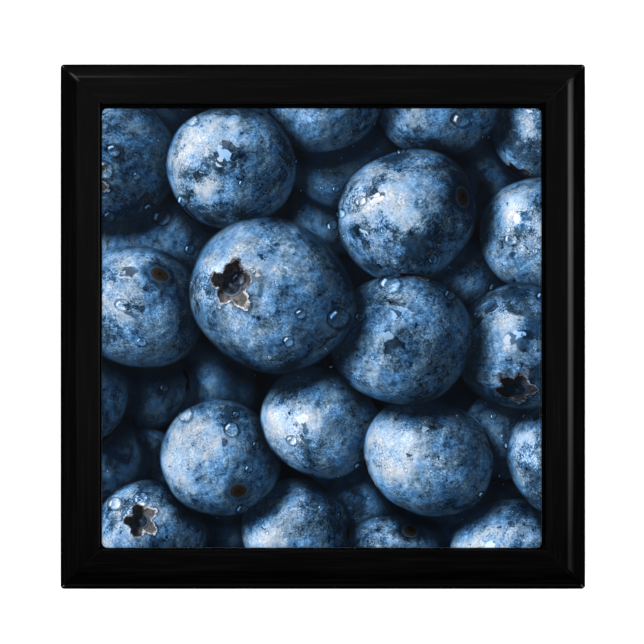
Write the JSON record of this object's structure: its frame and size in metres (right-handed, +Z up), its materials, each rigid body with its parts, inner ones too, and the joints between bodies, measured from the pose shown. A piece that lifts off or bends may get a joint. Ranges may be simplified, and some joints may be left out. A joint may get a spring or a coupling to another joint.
{
  "type": "lacquered keepsake gift box with a picture tile lid",
  "caption": "Square black lacquered wooden keepsake box, shut, with a glazed blueberry picture tile let into its moulded, mitred lid.",
  "frame": {"origin": "middle of the underside of the box, on the surface that it stands on", "axes": "+Z up through the lid, +Y towards the picture's top edge, +X towards its right edge"},
  "size_m": [0.181, 0.181, 0.07],
  "materials": {
    "black_lacquer": "glossy black lacquer over faint wood grain",
    "stained_board": "matt black stain, seen only in the gap round the tile",
    "glazed_picture": "glossy glaze over a printed heap of blueberries"
  },
  "bodies": {
    "root": {"box_body": "black_lacquer", "lid_rail_front": "black_lacquer", "lid_rail_right": "black_lacquer", "lid_rail_back": "black_lacquer", "lid_rail_left": "black_lacquer", "lid_panel": "stained_board", "picture_tile": "glazed_picture"}
  },
  "joints": []
}
